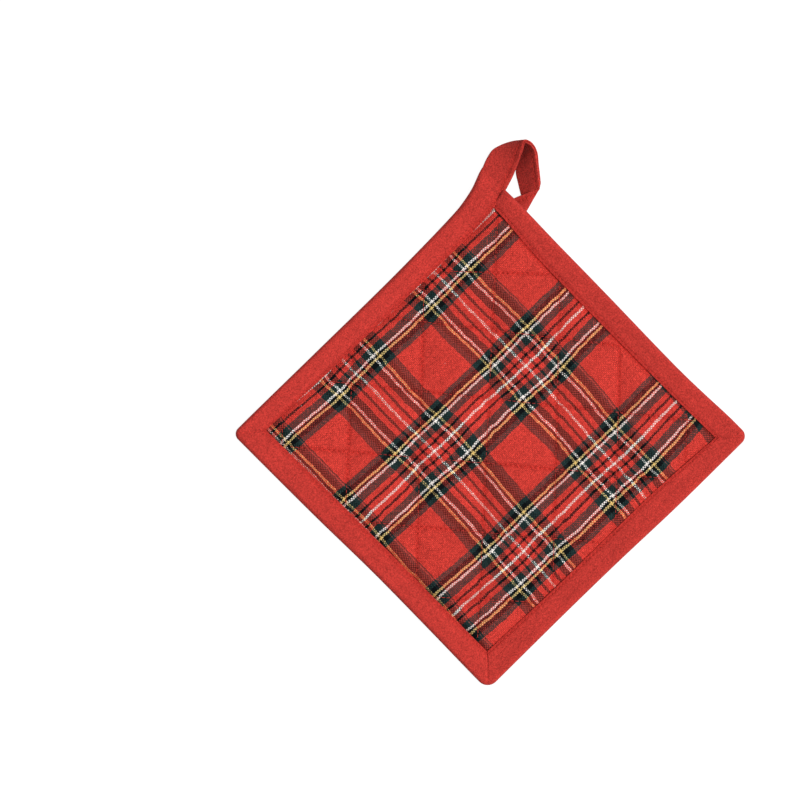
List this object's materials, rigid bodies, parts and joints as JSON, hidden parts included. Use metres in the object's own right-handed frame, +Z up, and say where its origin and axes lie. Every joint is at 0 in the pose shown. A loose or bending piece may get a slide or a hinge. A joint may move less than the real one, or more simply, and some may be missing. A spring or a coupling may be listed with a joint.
{
  "type": "pot holder",
  "caption": "Square quilted cloth pot holder with a bound edge and a strip loop at one corner, lying on its back.",
  "frame": {"origin": "middle of the pad's flat back, on the surface that it lies on", "axes": "+X and +Y along the pad's sides, the loop at the +X +Y corner, +Z up out of the tartan face"},
  "size_m": [0.2278, 0.2106, 0.0158],
  "materials": {
    "tartan_cotton": "plain-woven cotton, red tartan check, quilted",
    "red_cotton": "plain red cotton strip, folded and sewn"
  },
  "bodies": {
    "root": {"quilted_panel": "tartan_cotton", "edge_binding": "red_cotton", "hanging_loop": "red_cotton"}
  },
  "joints": []
}
